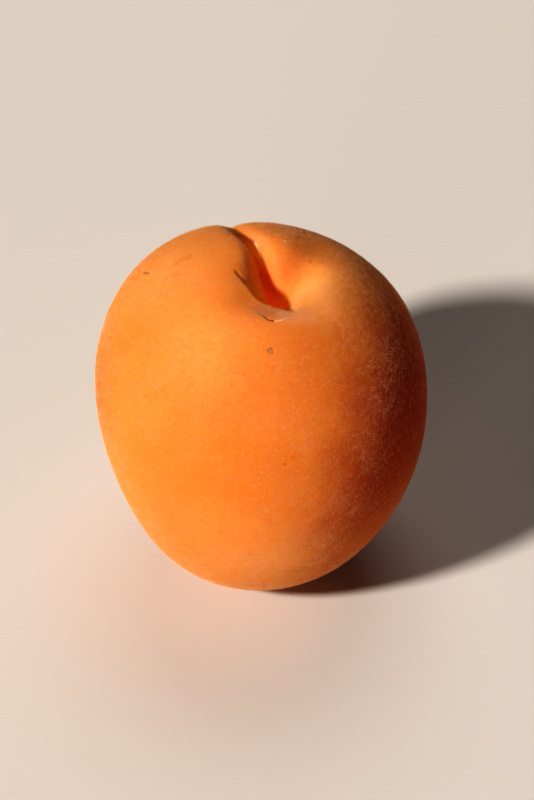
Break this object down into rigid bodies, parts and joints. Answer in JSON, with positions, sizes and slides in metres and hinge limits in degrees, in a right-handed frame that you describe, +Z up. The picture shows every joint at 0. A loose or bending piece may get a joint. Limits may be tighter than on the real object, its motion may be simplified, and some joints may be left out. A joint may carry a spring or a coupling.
{
  "type": "apricot",
  "caption": "Whole ripe apricot with a stem cavity and a suture down one side, resting stem end up on a small flat spot.",
  "frame": {"origin": "on the resting surface, under the middle of the fruit's outer box", "axes": "+Z up from the flat spot to the stem end, +Y towards the side that the suture runs down, +X to the right seen from -Y"},
  "size_m": [0.0468, 0.0496, 0.0517],
  "materials": {
    "skin": "matte"
  },
  "bodies": {
    "root": {"apricot": "skin"}
  },
  "joints": []
}
